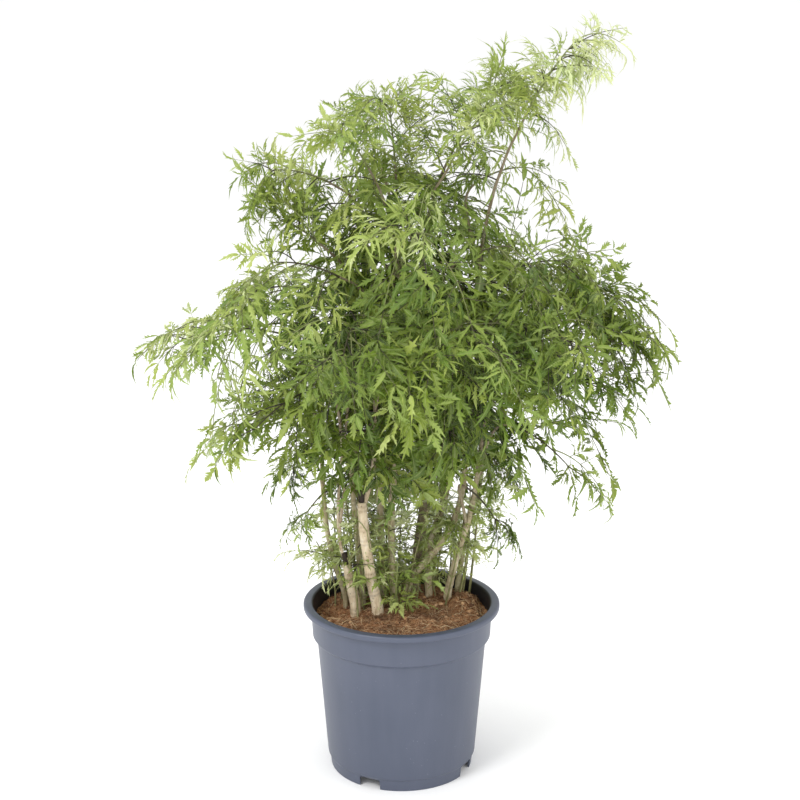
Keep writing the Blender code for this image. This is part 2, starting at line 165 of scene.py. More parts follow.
# How much farther from the CAD a spray's leaves may stand out, where it spreads more than the others.
EXTRA_CLEARANCE = {17: 0.007, 27: 0.012, 29: 0.007, 31: 0.014, 35: 0.008}

# Leaves inside the crown: where they start at the front and at the back, how many there are to a metre of
# stem, and how far from the axis they reach, which is less near the top.
INNER_LOWEST = 0.322
INNER_LOWEST_BACK = 0.280
INNER_PER_METRE = 95
INNER_REACH = 0.150
INNER_TAPER = 0.065
# Green shoots: how many, their points, and the height below which they are bare, in the middle and beside it.
SHOOT_COUNT = 40
SHOOT_POINTS = 12
SHOOT_BARE = 0.232
SHOOT_BARE_SIDE = 0.196
# How far behind the pot's axis the clump of canes has its middle.
CROWN_MIDDLE = 0.030

# What the random draws of each part start from.
SEEDS = {"litter": 41, "canes": 700, "pinnae": 11, "crown": 3, "sprays": 5000, "inner": 8000,
         "young": 91, "low": 92, "shoots": 93}


def seeded(part, order=0):
    """The random draws of one part, the same at every run."""
    return random.Random(SEEDS[part] + order)


def linear(red, green, blue):
    """A colour given in 0 to 255 as seen on a screen, in linear light."""
    return tuple((c / 255.0 / 12.92 if c <= 10 else ((c / 255.0 + 0.055) / 1.055) ** 2.4)
                 for c in (red, green, blue)) + (1.0,)


# ---------------------------------------------------------------- materials

def plug(tree, value, socket):
    """Links a node's output to a socket, or sets the socket to a plain value."""
    if isinstance(value, bpy.types.NodeSocket):
        tree.links.new(value, socket)
    else:
        socket.default_value = value


def add_node(tree, kind, inputs=None, **settings):
    made = tree.nodes.new(kind)
    for key, value in settings.items():
        setattr(made, key, value)
    for key, value in (inputs or {}).items():
        plug(tree, value, made.inputs[key])
    return made


def maths(tree, operation, *values, clamp=False):
    inputs = dict(enumerate(values))
    return add_node(tree, "ShaderNodeMath", inputs, operation=operation, use_clamp=clamp).outputs[0]


def product(tree, first, *others):
    for other in others:
        first = maths(tree, "MULTIPLY", first, other)
    return first


def weighted(tree, first, share, second, rest):
    """Two outputs, each times its own weight, added up."""
    return maths(tree, "ADD", product(tree, first, share), product(tree, second, rest))


def mix(tree, factor, first, second):
    inputs = {0: factor, 6: first, 7: second}
    return add_node(tree, "ShaderNodeMix", inputs, data_type="RGBA").outputs[2]


def stained(tree, base, colour, *shares):
    """A colour with a screen colour laid over it, as thickly as the product of the shares."""
    return mix(tree, product(tree, *shares), base, linear(*colour))


def ramp(tree, factor, stops):
    """A colour ramp through screen colours at their places."""
    made = add_node(tree, "ShaderNodeValToRGB", {"Fac": factor})
    elements = made.color_ramp.elements
    while len(elements) < len(stops):
        elements.new(0.5)
    for element, (place, colour) in zip(elements, stops.items()):
        element.position = place
        element.color = linear(*colour)
    return made.outputs["Color"]


def texture(tree, kind, output, stretch, **inputs):
    """A texture in the object's own metres, stretched along the axes."""
    where = add_node(tree, "ShaderNodeTexCoord").outputs["Object"]
    placed = add_node(tree, "ShaderNodeMapping", {"Vector": where, "Scale": stretch}).outputs[0]
    return add_node(tree, kind, {"Vector": placed, **inputs}).outputs[output]


def grain(tree, scale, detail=3.0, roughness=0.55, stretch=(1.0, 1.0, 1.0)):
    """Cloudy noise."""
    return texture(tree, "ShaderNodeTexNoise", "Fac", stretch, Scale=scale, Detail=detail,
                   Roughness=roughness)


def cells(tree, scale, stretch=(1.0, 1.0, 1.0)):
    """Distance to the nearest of many scattered spots."""
    return texture(tree, "ShaderNodeTexVoronoi", "Distance", stretch, Scale=scale)


def look_channels(tree):
    """A piece's look attribute, as its three channels and its alpha."""
    read = add_node(tree, "ShaderNodeAttribute", attribute_name="look")
    parts = add_node(tree, "ShaderNodeSeparateColor", {"Color": read.outputs["Color"]})
    return (*parts.outputs[:3], read.outputs["Alpha"])


def new_material(name):
    material = bpy.data.materials.new(name)
    material.use_nodes = True
    return material, material.node_tree, material.node_tree.nodes["Principled BSDF"]


def paint(tree, shader, colour, roughness, specular=0.5):
    """Gives a shader its colour, its roughness and how strongly it reflects."""
    for name, value in (("Base Color", colour), ("Roughness", roughness), ("Specular IOR Level", specular)):
        plug(tree, value, shader.inputs[name])


def bump(tree, shader, height, distance):
    made = add_node(tree, "ShaderNodeBump", {"Height": height, "Distance": distance, "Strength": 1.0})
    tree.links.new(made.outputs[0], shader.inputs["Normal"])


def pot_material():
    """Satin blue-grey polypropylene: faint clouding, upright flow marks, pale scuffs and dust specks, with
    painted shade that darkens its inner wall nearly to black.
    """
    material, tree, shader = new_material("pot_plastic_look")
    cloud = grain(tree, 14.0, 4.0)
    flow = grain(tree, 60.0, 3.0, stretch=(1.0, 1.0, 0.10))
    base = ramp(tree, weighted(tree, cloud, 0.6, flow, 0.4), {0.30: (67, 74, 91), 0.70: (78, 84, 101)})
    specks = maths(tree, "LESS_THAN", cells(tree, 170.0), 0.075)
    sparse = maths(tree, "GREATER_THAN", grain(tree, 30.0, 2.0), 0.56)
    base = stained(tree, base, (128, 134, 150), specks, sparse, 0.55)
    scuffs = maths(tree, "GREATER_THAN", grain(tree, 90.0, 5.0, 0.7, (1.0, 1.0, 3.0)), 0.70)
    base = stained(tree, base, (116, 122, 138), scuffs, 0.22)
    # Painted shade: faces that turn towards the pot's axis, the inner wall, are darkened nearly to black.
    geometry = tree.nodes.new("ShaderNodeNewGeometry")
    flat = add_node(tree, "ShaderNodeVectorMath", {0: geometry.outputs["Position"], 1: (1.0, 1.0, 0.0)},
                    operation="MULTIPLY")
    facing = add_node(tree, "ShaderNodeVectorMath", {0: flat.outputs[0], 1: geometry.outputs["True Normal"]},
                      operation="DOT_PRODUCT")
    inside = maths(tree, "MULTIPLY_ADD", facing.outputs["Value"], -40.0, -1.0, clamp=True)
    base = stained(tree, base, (18, 19, 22), inside, 0.94)
    rough = maths(tree, "MULTIPLY_ADD", cloud, 0.16, 0.36)
    paint(tree, shader, base, maths(tree, "ADD", rough, product(tree, scuffs, 0.12)), 0.55)
    bump(tree, shader, maths(tree, "ADD", grain(tree, 900.0, 2.0), product(tree, flow, 2.0)), 0.00008)
    return material


def damp_patches(tree, colour):
    """A soil colour, darkened in patches a few centimetres wide."""
    damp = maths(tree, "MULTIPLY_ADD", grain(tree, 34.0, 2.0), 4.0, -1.9, clamp=True)
    return stained(tree, colour, (48, 32, 22), damp, 0.62)


def soil_material():
    """Damp reddish-brown coir and peat with paler dust."""
    material, tree, shader = new_material("potting_soil_look")
    both = weighted(tree, grain(tree, 130.0, 6.0, 0.65), 0.55, grain(tree, 700.0, 4.0, 0.7), 0.45)
    base = ramp(tree, both, {0.30: (56, 36, 24), 0.45: (138, 96, 66), 0.58: (194, 148, 108),
                             0.72: (224, 190, 152)})
    paint(tree, shader, damp_patches(tree, base), 0.95, 0.2)
    bump(tree, shader, both, 0.0022)
    return material


def fibre_material():
    """Coir fibres and straw: the look attribute's red runs from dark brown to straw."""
    material, tree, shader = new_material("coir_fibre_look")
    shade, *_ = look_channels(tree)
    streaks = grain(tree, 900.0, 2.0)
    base = ramp(tree, maths(tree, "MULTIPLY_ADD", streaks, 0.3, maths(tree, "SUBTRACT", shade, 0.15)),
                {0.0: (66, 42, 28), 0.35: (156, 110, 74), 0.65: (206, 162, 120), 1.0: (230, 206, 166)})
    paint(tree, shader, damp_patches(tree, base), 0.85)
    bump(tree, shader, streaks, 0.0003)
    return material


def bark_material():
    """Look attribute: red is youth, from pale bark to green; green darkness; blue scars; alpha a stub."""
    material, tree, shader = new_material("bark_look")
    youth, dusk, scar, cut = look_channels(tree)
    mottle = grain(tree, 120.0, 5.0, 0.6, (1.0, 1.0, 0.45))
    fibre = grain(tree, 420.0, 3.0, 0.6, (1.0, 1.0, 0.22))
    blend = weighted(tree, mottle, 0.65, fibre, 0.35)
    old = ramp(tree, blend, {0.32: (164, 142, 110), 0.48: (226, 206, 174), 0.64: (246, 234, 210)})
    young = ramp(tree, blend, {0.32: (96, 98, 58), 0.50: (140, 142, 92), 0.66: (184, 180, 136)})
    dark = ramp(tree, blend, {0.35: (38, 30, 26), 0.60: (84, 70, 56)})
    base = mix(tree, dusk, mix(tree, youth, old, young), dark)
    pores = maths(tree, "LESS_THAN", cells(tree, 330.0, (1.0, 1.0, 0.7)), 0.20)
    patchy = maths(tree, "GREATER_THAN", grain(tree, 160.0, 2.0), 0.50)
    base = stained(tree, base, (84, 64, 44), pores, patchy, 0.62)
    base = stained(tree, base, (96, 76, 54), scar, 0.60)
    base = stained(tree, base, (48, 38, 30), cut)
    paint(tree, shader, base, 0.72, 0.35)
    bump(tree, shader, maths(tree, "SUBTRACT", blend, product(tree, pores, 0.35)), 0.0009)
    return material


def leaf_material():
    """Look attribute: red is paleness with painted light and shade in it, green a tint, blue nought at the
    midrib, alpha one on stalks.
    """
    material, tree, shader = new_material("leaf_look")
    pale, tint, across, stalk = look_channels(tree)
    mottle = grain(tree, 260.0, 4.0, 0.6)
    # shade is that paleness, painted light and painted shade included, with a faint mottle.
    shade = maths(tree, "ADD", pale, maths(tree, "MULTIPLY_ADD", mottle, 0.24, -0.12))
    green = ramp(tree, shade, {0.0: (50, 74, 16), 0.30: (96, 124, 38), 0.65: (150, 172, 84),
                               1.0: (206, 216, 164)})
    warm = ramp(tree, shade, {0.0: (68, 86, 14), 0.30: (122, 138, 38), 0.65: (174, 184, 88),
                              1.0: (222, 226, 168)})
    body = mix(tree, product(tree, tint, 0.75), green, warm)
    rib = maths(tree, "POWER", maths(tree, "SUBTRACT", 1.0, across, clamp=True), 5.0)
    body = stained(tree, body, (186, 194, 128), rib, 0.42)
    stem = ramp(tree, shade, {0.10: (58, 48, 44), 0.30: (96, 92, 66), 0.70: (150, 160, 98)})
    body = mix(tree, stalk, body, stem)
    paint(tree, shader, body, maths(tree, "MULTIPLY_ADD", mottle, 0.20, 0.32), 0.50)
    bump(tree, shader, maths(tree, "ADD", mottle, product(tree, rib, -0.8)), 0.0004)
    through = add_node(tree, "ShaderNodeBsdfTranslucent", {"Color": body})
    both = add_node(tree, "ShaderNodeMixShader", {"Fac": 0.34, 1: shader.outputs[0], 2: through.outputs[0]})
    tree.links.new(both.outputs[0], tree.nodes["Material Output"].inputs["Surface"])
    return material


def floor_material():
    """Plain pale studio paper with a barely visible tooth."""
    material, tree, shader = new_material("studio_paper")
    tooth = grain(tree, 40.0, 2.0)
    paint(tree, shader, mix(tree, tooth, (0.95, 0.95, 0.95, 1.0), (0.97, 0.97, 0.97, 1.0)), 0.95, 0.1)
    return material


# ---------------------------------------------------------------- meshes

# A shape's points and triangles, its look in four channels, and each point's place in its colour map cell.
Shape = namedtuple("Shape", "verts tris look spot cell")


def columns(*parts):
    return np.stack(parts, axis=1)


def one_cell(verts, tris, spot, look=None):
    """A shape in a single cell of the colour map, with no look of its own if none is given."""
    look = np.zeros((len(verts), 4)) if look is None else look
    return Shape(verts, tris, look, spot, np.zeros(len(verts), int))


def round_angles(count):
    return np.arange(count) * math.tau / count


def ring_triangles(count, sides):
    """Triangles over count rings of points, closed at both ends by the two points that come after them."""
    around = np.arange(sides)
    following = (around + 1) % sides
    tris = []
    for low in range(0, (count - 1) * sides, sides):
        high = low + sides
        tris.append(columns(low + around, low + following, high + following))
        tris.append(columns(low + around, high + following, high + around))
    top, first = (count - 1) * sides, np.full(sides, count * sides)
    tris.append(columns(first, following, around))
    tris.append(columns(first + 1, top + around, top + following))
    return np.concatenate(tris)


class Bundle:
    """Collects the shapes of one piece."""

    def __init__(self):
        self.shapes = []
        self.points = 0
        self.cells = 0

    def add(self, shape, turn=None, shift=None, look=None):
        """Adds a shape, turned and scaled by a 3x3 matrix, moved by shift, with look added to its own."""
        verts = shape.verts if turn is None else shape.verts @ turn.T
        verts = verts if shift is None else verts + shift
        looks = shape.look if look is None else shape.look + look
        self.shapes.append(Shape(verts, shape.tris + self.points, looks, shape.spot, shape.cell + self.cells))
        self.points += len(verts)
        self.cells += int(shape.cell.max()) + 1

    def mesh(self, name):
        verts, tris, look, spot, cell = (np.concatenate(parts) for parts in zip(*self.shapes))
        mesh = bpy.data.meshes.new(name)
        mesh.vertices.add(len(verts))
        mesh.vertices.foreach_set("co", verts.astype(np.float32).ravel())
        mesh.loops.add(tris.size)
        mesh.loops.foreach_set("vertex_index", tris.astype(np.int32).ravel())
        mesh.polygons.add(len(tris))
        mesh.polygons.foreach_set("loop_start", np.arange(0, tris.size, 3, dtype=np.int32))
        mesh.update(calc_edges=True)
        mesh.shade_smooth()
        made = mesh.attributes.new("look", "FLOAT_COLOR", "POINT")
        made.data.foreach_set("color", np.clip(look, 0.0, 1.0).astype(np.float32).ravel())
        across = math.ceil(math.sqrt(self.cells))
        corner = columns(cell % across, cell // across)
        places = (corner + 0.08 + 0.84 * spot) / across
        layer = mesh.uv_layers.new(name="OFBake")
        layer.uv.foreach_set("vector", places[tris.ravel()].astype(np.float32).ravel())
        return mesh

    def piece(self, name, material, slot, *nodes):
        add_piece(name, self.mesh(name), material, slot, *nodes)


def put_in_scene(name, data):
    item = bpy.data.objects.new(name, data)
    bpy.context.scene.collection.objects.link(item)
    return item


def add_piece(name, mesh, material, slot, *nodes):
    """Puts a piece in the scene, on the plant's one body, in place of the CAD nodes it stands for."""
    piece = put_in_scene(name, mesh)
    mesh.materials.clear()
    mesh.materials.append(material)
    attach(piece, "root")
    if nodes:
        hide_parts(*nodes)


def tube(points, radii, sides, look):
    """A closed round tube along points. look is one row of four channels, for each point or for all."""
    points = np.asarray([tuple(p) for p in points])
    ways = np.gradient(points, axis=0)
    ways /= np.linalg.norm(ways, axis=1)[:, None]
    side = np.cross(ways[0], (0.0, 0.0, 1.0) if abs(ways[0][2]) < 0.9 else (0.0, 1.0, 0.0))
    turns = columns(np.cos(round_angles(sides)), np.sin(round_angles(sides)))
    rings = []
    for place, way, radius in zip(points, ways, radii):
        side = side - way * (side @ way)
        side /= np.linalg.norm(side)
        spokes = turns * np.broadcast_to(radius, sides)[:, None]
        rings.append(place + spokes[:, :1] * side + spokes[:, 1:] * np.cross(way, side))
    count = len(points)
    verts = np.concatenate(rings + [points[:1], points[-1:]])
    look = np.broadcast_to(np.asarray(look, float), (count, 4))
    looks = np.concatenate((np.repeat(look, sides, axis=0), look[:1], look[-1:]))
    fold = 1.0 - np.abs(2.0 * np.arange(sides) / sides - 1.0)
    along = np.repeat(np.linspace(0.05, 0.95, count), sides)
    spot = columns(np.append(along, (0.0, 1.0)), np.append(np.tile(fold, count), (0.5, 0.5)))
    return one_cell(verts, ring_triangles(count, sides), spot, looks)


def hermite(start, start_pull, end, end_pull, count):
    """Evenly spaced points on a smooth curve between two points, with the pulls as its end directions."""
    made = []
    for i in range(count):
        t = i / (count - 1)
        made.append(start * (2 * t ** 3 - 3 * t ** 2 + 1) + start_pull * (t ** 3 - 2 * t ** 2 + t)
                    + end * (3 * t ** 2 - 2 * t ** 3) + end_pull * (t ** 3 - t ** 2))
    return made


def bend(curve, share):
    """Point at a share of the way along a foot, arch and tip curve."""
    foot, arch, tip = curve
    return foot * (1 - share) ** 2 + arch * (2 * share * (1 - share)) + tip * share ** 2


def place_on(line, where):
    """The point at a place along a line of points, counted in points, and the line's direction there."""
    index = min(len(line) - 2, int(where))
    return line[index].lerp(line[index + 1], where - index), (line[index + 1] - line[index]).normalized()


# ---------------------------------------------------------------- what the CAD says

def read_all(items, key, width, kind):
    values = np.empty(len(items) * width, kind)
    items.foreach_get(key, values)
    return values.reshape(-1, width)


def node_points(name):
    return read_all(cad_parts[name].data.vertices, "co", 3, np.float32).astype(float)


def node_edges(name):
    return read_all(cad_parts[name].data.edges, "vertices", 2, np.int32)


def spray_curve(name):
    """Foot, arch and tip of a CAD spray: its farthest two points, the foot being nearer the plant's axis."""
    places = node_points(name)
    gaps = np.linalg.norm(places[:, None] - places[None], axis=2)
    ends = [Vector(places[i]) for i in np.unravel_index(gaps.argmax(), gaps.shape)]
    foot, tip = sorted(ends, key=lambda end: end.xy.length)
    return foot, (foot + tip) / 2 + UP * ARCH * (tip - foot).length, tip


def slice_centre(places, ends, height, near, reach):
    """Centre and radius of the ring where a node's surface crosses a height, close to a place."""
    low, high = places[ends[:, 0]], places[ends[:, 1]]
    crossing = (low[:, 2] - height) * (high[:, 2] - height) < 0
    low, high = low[crossing], high[crossing]
    share = (height - low[:, 2]) / (high[:, 2] - low[:, 2])
    ring = low + (high - low) * share[:, None]
    ring = ring[np.linalg.norm(ring[:, :2] - near, axis=1) < reach]
    if len(ring) < 4:
        return None
    centre = (ring[:, :2].min(0) + ring[:, :2].max(0)) / 2
    return centre, float(np.linalg.norm(ring[:, :2] - centre, axis=1).mean())


def trace_trunk(name):
    """A CAD cane's trunk from inside the soil up to its cut top, as points and radii."""
    places, ends = node_points(name), node_edges(name)
    lowest_height = places[:, 2].min()
    height = lowest_height + TRACE_STEP / 2
    lowest = places[places[:, 2] < height]
    near, radius, drift, slant = lowest[:, :2].mean(0), TRACE_RADIUS, np.zeros(2), 1.0
    points, radii = [], []
    while height < TRACE_TOP:
        found = slice_centre(places, ends, height, near + drift, TRACE_REACH * radius * slant)
        if found is None:
            break
        drift = (found[0] - near) if points else drift
        slant = math.hypot(1.0, float(np.linalg.norm(drift)) / TRACE_STEP)
        girth = found[1] * 2.0 / (1.0 + slant)
        if radii and girth < CUT_DROP * radii[-1] and height > lowest_height + 0.05:
            break
        near, radius = found[0], girth
        points.append(Vector((*near, height)))
        radii.append(radius)
        height += TRACE_STEP
    return points, radii


def section(name, turn):
    """A turned CAD node's outline on an upright half plane, as (radius, height), from its floor's middle."""
    places, ends = node_points(name), node_edges(name)
    radius = np.hypot(places[:, 0], places[:, 1])
    angle = np.arctan2(places[:, 1], places[:, 0])
    on_axis = radius < 1e-5
    flat = {i: (round(float(radius[i]), 5), round(float(places[i, 2]), 5))
            for i in np.flatnonzero(on_axis | (np.abs(angle - turn) < 1e-3))}
    beside = {}
    for a, b in ends:
        if a in flat and b in flat and flat[a] != flat[b]:
            beside.setdefault(flat[a], set()).add(flat[b])
            beside.setdefault(flat[b], set()).add(flat[a])
    start = max(place for place in beside if place[0] == 0.0)
    outline = [(0.0, start[1])]
    current = start
    while True:
        ahead = [place for place in beside[current] if place not in outline]
        if not ahead:
            return outline
        current = min(ahead, key=lambda place: math.dist(place, current))
        outline.append(current)


def notch_spans():
    """Turn, half width and height of each notch in the pot's skirt."""
    places = node_points("pot")
    radius = np.hypot(places[:, 0], places[:, 1])
    skirt = radius[places[:, 2] < 1e-5]
    tops = places[(places[:, 2] > 1e-4) & (radius > skirt.min() - 0.001) & (radius < skirt.max() + 0.002)]
    height = tops[:, 2].min()
    tops = tops[tops[:, 2] < height + 1e-4]
    turns = np.sort(np.arctan2(tops[:, 1], tops[:, 0]))
    groups = np.split(turns, np.flatnonzero(np.diff(turns) > 0.5) + 1)
    spans = [((group.min() + group.max()) / 2, (group.max() - group.min()) / 2) for group in groups]
    return [(turn, math.sin(half) * skirt.max(), height) for turn, half in spans]


# ---------------------------------------------------------------- pot

def rounded(outline, radius, steps=4):
    """An outline with each inner corner turned into a small arc."""
    made = [outline[0]]
    for before, corner, after in zip(outline, outline[1:], outline[2:]):
        before, corner, after = Vector(before), Vector(corner), Vector(after)
        into, out = before - corner, after - corner
        reach = min(radius, 0.45 * into.length, 0.45 * out.length)
        start, end = corner + into.normalized() * reach, corner + out.normalized() * reach
        for i in range(steps):
            t = i / (steps - 1)
            made.append(tuple(start * (1 - t) ** 2 + corner * 2 * t * (1 - t) + end * t ** 2))
    return made + [outline[-1]]


def build_pot(material):
    """The CAD pot's own section with its edges rounded, turned finely, then notched and drained."""
    outline = rounded(section("pot", POT_SECTION_TURN), POT_EDGE)
    mesh = bpy.data.meshes.new("pot_shell")
    mesh.from_pydata([(r, 0.0, z) for r, z in outline], [(i, i + 1) for i in range(len(outline) - 1)], [])
    shell = put_in_scene("pot_shell", mesh)
    screw = shell.modifiers.new("Turn", "SCREW")
    screw.steps = screw.render_steps = POT_STEPS
    screw.use_merge_vertices = True
    screw.merge_threshold = 0.000005

    cage = bmesh.new()
    spans = notch_spans()
    skirt = Vector((node_points("pot")[:, 0].max() * NOTCH_RING_SHARE, 0.0, 0.0))
    for turn, half_width, height in spans:
        arch = [(half_width, -height), (half_width, height), (-half_width, height), (-half_width, -height)]
        corners = rounded(arch, NOTCH_FILLET, 8)
        face = cage.faces.new([cage.verts.new((NOTCH_REACH * -0.5, x, z)) for x, z in corners])
        grown = bmesh.ops.extrude_face_region(cage, geom=[face])["geom"]
        moved = [item for item in grown if isinstance(item, bmesh.types.BMVert)]
        bmesh.ops.translate(cage, vec=(NOTCH_REACH, 0.0, 0.0), verts=moved)
        block = list(face.verts) + moved
        bmesh.ops.translate(cage, vec=skirt, verts=block)
        bmesh.ops.rotate(cage, matrix=Matrix.Rotation(turn, 3, "Z"), verts=block)
    for i in range(DRAIN_COUNT):
        turn = spans[0][0] + (i + 0.5) * math.tau / DRAIN_COUNT
        hole = bmesh.ops.create_cone(cage, cap_ends=True, segments=DRAIN_SIDES, radius1=DRAIN_RADIUS,
                                     radius2=DRAIN_RADIUS, depth=DRAIN_DEPTH)["verts"]
        place = (DRAIN_RING * math.cos(turn), DRAIN_RING * math.sin(turn), DRAIN_HEIGHT)
        bmesh.ops.translate(cage, vec=place, verts=hole)
    bmesh.ops.recalc_face_normals(cage, faces=cage.faces)
    cutter_mesh = bpy.data.meshes.new("pot_cutter")
    cage.to_mesh(cutter_mesh)
    cage.free()
    cutter = put_in_scene("pot_cutter", cutter_mesh)
    cut = shell.modifiers.new("Cut", "BOOLEAN")
    cut.operation = "DIFFERENCE"
    cut.object = cutter
    bpy.context.view_layer.update()
    made = bpy.data.meshes.new_from_object(shell.evaluated_get(bpy.context.evaluated_depsgraph_get()))
    made.shade_smooth()
    made.set_sharp_from_angle(angle=POT_SHARP_ANGLE)
    for helper in (shell, cutter):
        bpy.data.objects.remove(helper, do_unlink=True)
    add_piece("pot_shell", made, material, "pot_plastic", "pot")


# ---------------------------------------------------------------- soil

def soil_surface(x, y, level, edge):
    """Height of the loose soil at a place."""
    out = math.hypot(x, y) / edge
    height = level - SOIL_EDGE_DROP * out ** 4
    for scale, size in SOIL_LUMPS:
        height += size * noise.noise(Vector((x, y, size * 90.0)) * scale)
    for place_x, place_y, radius, rise in SOIL_MOUNDS:
        height += rise * math.exp(-(math.hypot(x - place_x, y - place_y) / radius) ** 2)
    return height


def build_soil(material, fibre):
    places = node_points("soil")
    top = places[places[:, 2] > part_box("soil")[1].z - 0.012]
    edge = float(np.hypot(top[:, 0], top[:, 1]).max())
    level = float(top[:, 2].mean())
    angles = round_angles(SOIL_STEPS)
    rings = []
    for radius in edge * np.arange(1, SOIL_RINGS + 1) / SOIL_RINGS:
        x, y = radius * np.cos(angles), radius * np.sin(angles)
        rings.append(columns(x, y, [soil_surface(*place, level, edge) for place in zip(x, y)]))
    depth = level - SOIL_DEPTH
    rings.append(rings[-1] * (1.0, 1.0, 0.0) + (0.0, 0.0, depth))
    middle = np.array([[0.0, 0.0, soil_surface(0.0, 0.0, level, edge)], [0.0, 0.0, depth]])
    verts = np.concatenate(rings + [middle])
    tris = ring_triangles(len(rings), SOIL_STEPS)[:, ::-1]
    bundle = Bundle()
    bundle.add(one_cell(verts, tris, verts[:, :2] / (2.0 * edge) + 0.5))
    bundle.piece("soil_bed", material, "potting_soil", "soil")
    build_litter(level, edge, fibre)


def scattered(draw, reach):
    """A place drawn evenly from a disc."""
    out = reach * math.sqrt(draw.random())
    turn = draw.uniform(0, math.tau)
    return out * math.cos(turn), out * math.sin(turn)


def build_litter(level, edge, material):
    """Coir fibres, straws and crumbs lying on the soil."""
    draw = seeded("litter")
    bundle = Bundle()
    for _ in range(FIBRE_COUNT):
        x, y = scattered(draw, edge * 0.97)
        heading = draw.uniform(0, math.tau)
        straw = draw.random() < 0.025
        length = draw.uniform(0.012, 0.034) if straw else draw.uniform(0.004, 0.016)
        radius = draw.uniform(0.00025, 0.00045) if straw else draw.uniform(0.00010, 0.00024)
        curl = draw.uniform(-1.0, 1.0) * (0.4 if straw else 2.6)
        lift = draw.uniform(0.0000, 0.0034)
        points = []
        for j in range(FIBRE_POINTS):
            if math.hypot(x, y) > edge * 0.985:
                break
            hump = lift * math.sin(math.pi * j / (FIBRE_POINTS - 1))
            points.append((x, y, soil_surface(x, y, level, edge) + radius * 0.8 + hump))
            heading += curl / FIBRE_POINTS + draw.uniform(-0.15, 0.15)
            x += length / FIBRE_POINTS * math.cos(heading)
            y += length / FIBRE_POINTS * math.sin(heading)
        if len(points) < 4:
            continue
        shade = draw.uniform(0.7, 1.0) if straw else draw.uniform(0.05, 0.85)
        radii = [radius * (1.0 - 0.5 * abs(2 * j / (len(points) - 1) - 1) ** 3) for j in range(len(points))]
        bundle.add(tube(points, radii, 3, (shade, 0.0, 0.0, 0.0)))
    bundle.piece("coir_fibres", material, "potting_soil")

    bundle = Bundle()
    ball = bmesh.new()
    bmesh.ops.create_icosphere(ball, subdivisions=1, radius=1.0)
    knobs = np.array([v.co[:] for v in ball.verts])
    faces = np.array([[v.index for v in f.verts] for f in ball.faces])
    ball.free()
    spot = columns(np.arctan2(knobs[:, 1], knobs[:, 0]) / math.tau + 0.5, knobs[:, 2] / 2 + 0.5)
    for _ in range(CRUMB_COUNT):
        x, y = scattered(draw, edge * 0.96)
        size = 0.0007 + 0.0026 * draw.random() ** 3
        rough = np.array([draw.uniform(0.70, 1.25) for _ in knobs])[:, None]
        flat = np.array((draw.uniform(0.8, 1.5), draw.uniform(0.7, 1.2), draw.uniform(0.5, 0.9)))
        spin = np.array(Matrix.Rotation(draw.uniform(0, math.tau), 3, "Z"))
        place = np.array((x, y, soil_surface(x, y, level, edge) + size * 0.3))
        look = np.array((draw.uniform(0.05, 0.75), 0.0, 0.0, 0.0))
        bundle.add(one_cell(knobs * rough * flat * size, faces, spot), spin, place, look)
    bundle.piece("coir_crumbs", material, "potting_soil")


# ---------------------------------------------------------------- canes

def finer(points, radii, step):
    """Stations every step along a smooth line through points, with their radii."""
    lengths = [0.0]
    for a, b in zip(points, points[1:]):
        lengths.append(lengths[-1] + (b - a).length)
    count = max(3, round(lengths[-1] / step))
    where = np.linspace(0.0, lengths[-1], count)
    fine = columns(*(np.interp(where, lengths, [p[k] for p in points]) for k in range(3)))
    for _ in range(6):
        fine[1:-1] = (fine[:-2] + 2 * fine[1:-1] + fine[2:]) / 4
    return fine, np.interp(where, lengths, radii)


def bark_tube(points, radii, sides, draw, youth, dusk, ring_gap, stub=False):
    """A cane or twig with leaf scars round it. dusk is how dark it is at its two ends."""
    fine, widths = finer(points, radii, STATION_STEP)
    count = len(fine)
    look = np.zeros((count, 4))
    look[:, 0] = youth
    look[:, 1] = np.linspace(dusk[0], dusk[1], count)
    following = draw.uniform(0.3, 1.0) * ring_gap
    swell = np.ones(count)
    for i in range(count):
        if i * STATION_STEP > following:
            near = np.abs(np.arange(count) - i)
            swell += 0.10 * np.exp(-(near / 0.9) ** 2)
            look[:, 2] += draw.uniform(0.2, 0.7) * np.exp(-((near - 1.0) / 0.7) ** 2)
            following += ring_gap * draw.uniform(0.6, 1.5)
    phase = draw.uniform(0, 9)
    rounds = [(math.cos(a) * 1.3 + phase, math.sin(a) * 1.3) for a in round_angles(sides)]
    uneven = [[1.0 + 0.05 * noise.noise((*place, i * 0.12)) for place in rounds] for i in range(count)]
    if stub:
        look[:, 3] = 1.0
    return tube(fine, widths[:, None] * swell[:, None] * np.array(uneven), sides, look)


def canes_and_sprays():
    """Each CAD cane's name with the sprays whose feet are at the ends of its twigs."""
    sprays = {name: spray_curve(name) for name in sorted(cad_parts) if name.startswith("leaf_spray_")}
    canes = {name: [] for name in sorted(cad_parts) if name.endswith(("_cane", "_trunk"))}
    places = {name: node_points(name) for name in canes}
    for spray, curve in sprays.items():
        foot = np.array(curve[0])
        owner = min(canes, key=lambda name: np.linalg.norm(places[name] - foot, axis=1).min())
        canes[owner].append((spray, curve))
    return canes


def along_stem(stem, height):
    """Where a rising line of points first reaches a height, and its direction there."""
    for low, high in zip(stem, stem[1:]):
        if high.z >= height:
            share = max(0.0, (height - low.z) / (high.z - low.z))
            return low.lerp(high, share), (high - low).normalized()
    return stem[-1], (stem[-1] - stem[-2]).normalized()


def twig_to(start, way, curve, count):
    foot = curve[0]
    out = (bend(curve, 0.3) - foot).normalized()
    reach = (foot - start).length
    return hermite(start, way * reach, foot, out * reach, count)


